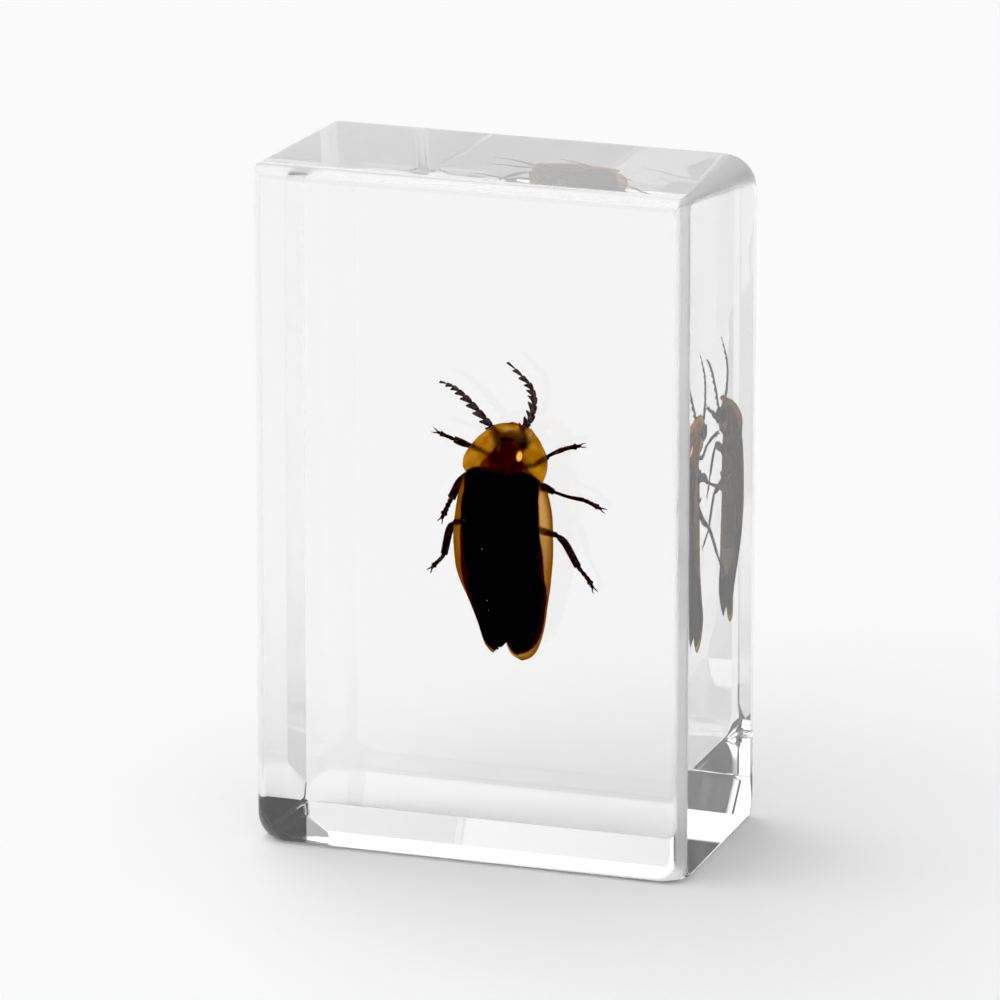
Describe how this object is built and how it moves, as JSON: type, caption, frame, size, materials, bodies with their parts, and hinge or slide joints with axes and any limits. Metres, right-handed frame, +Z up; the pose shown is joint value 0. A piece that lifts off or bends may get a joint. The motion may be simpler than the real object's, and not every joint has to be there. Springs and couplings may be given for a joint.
{
  "type": "insect in resin block",
  "caption": "Dried firefly sealed head up in an upright block of clear resin with rounded edges, a small desk specimen that stands on its narrow end.",
  "frame": {"origin": "middle of the block's base, on the surface that it stands on", "axes": "+Z up the block, from the insect's tail to its head; -Y towards the front face, which the insect's back faces; +X to the right as seen from the front"},
  "size_m": [0.0282, 0.0158, 0.044],
  "materials": {
    "clear_resin": "polished clear casting resin",
    "insect_shell": "dried insect shell, near black with amber edges"
  },
  "bodies": {
    "root": {"resin_front": "clear_resin", "resin_back": "clear_resin", "firefly": "insect_shell"}
  },
  "joints": []
}
